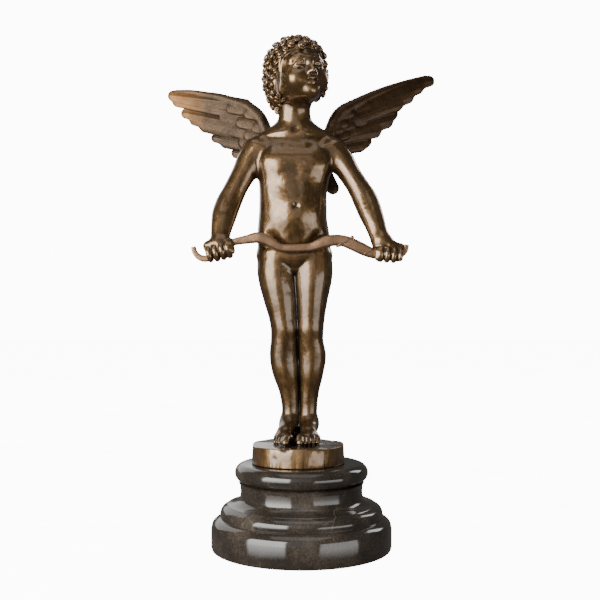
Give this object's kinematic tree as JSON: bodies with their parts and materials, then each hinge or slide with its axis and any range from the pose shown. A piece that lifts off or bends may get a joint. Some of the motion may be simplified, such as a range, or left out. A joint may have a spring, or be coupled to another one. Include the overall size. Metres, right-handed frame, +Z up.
{
  "type": "bronze cupid statue",
  "caption": "Standing winged boy in brown bronze on a low round disc, holding a bow across the hips in both fists, on a turned dark marble base.",
  "frame": {"origin": "centre of the flat underside of the marble base", "axes": "+Z up through the middle of the base, -Y the way the boy's chest faces, +X his left side"},
  "size_m": [0.2009, 0.1264, 0.3628],
  "materials": {
    "brown_bronze": "brown patina, waxed",
    "worn_bronze": "brown patina rubbed lighter, waxed",
    "black_marble": "polished dark stone"
  },
  "bodies": {
    "root": {"marble_base": "black_marble", "cupid_figure": "brown_bronze", "right_wing": "worn_bronze", "left_wing": "worn_bronze", "bow": "brown_bronze"}
  },
  "joints": []
}
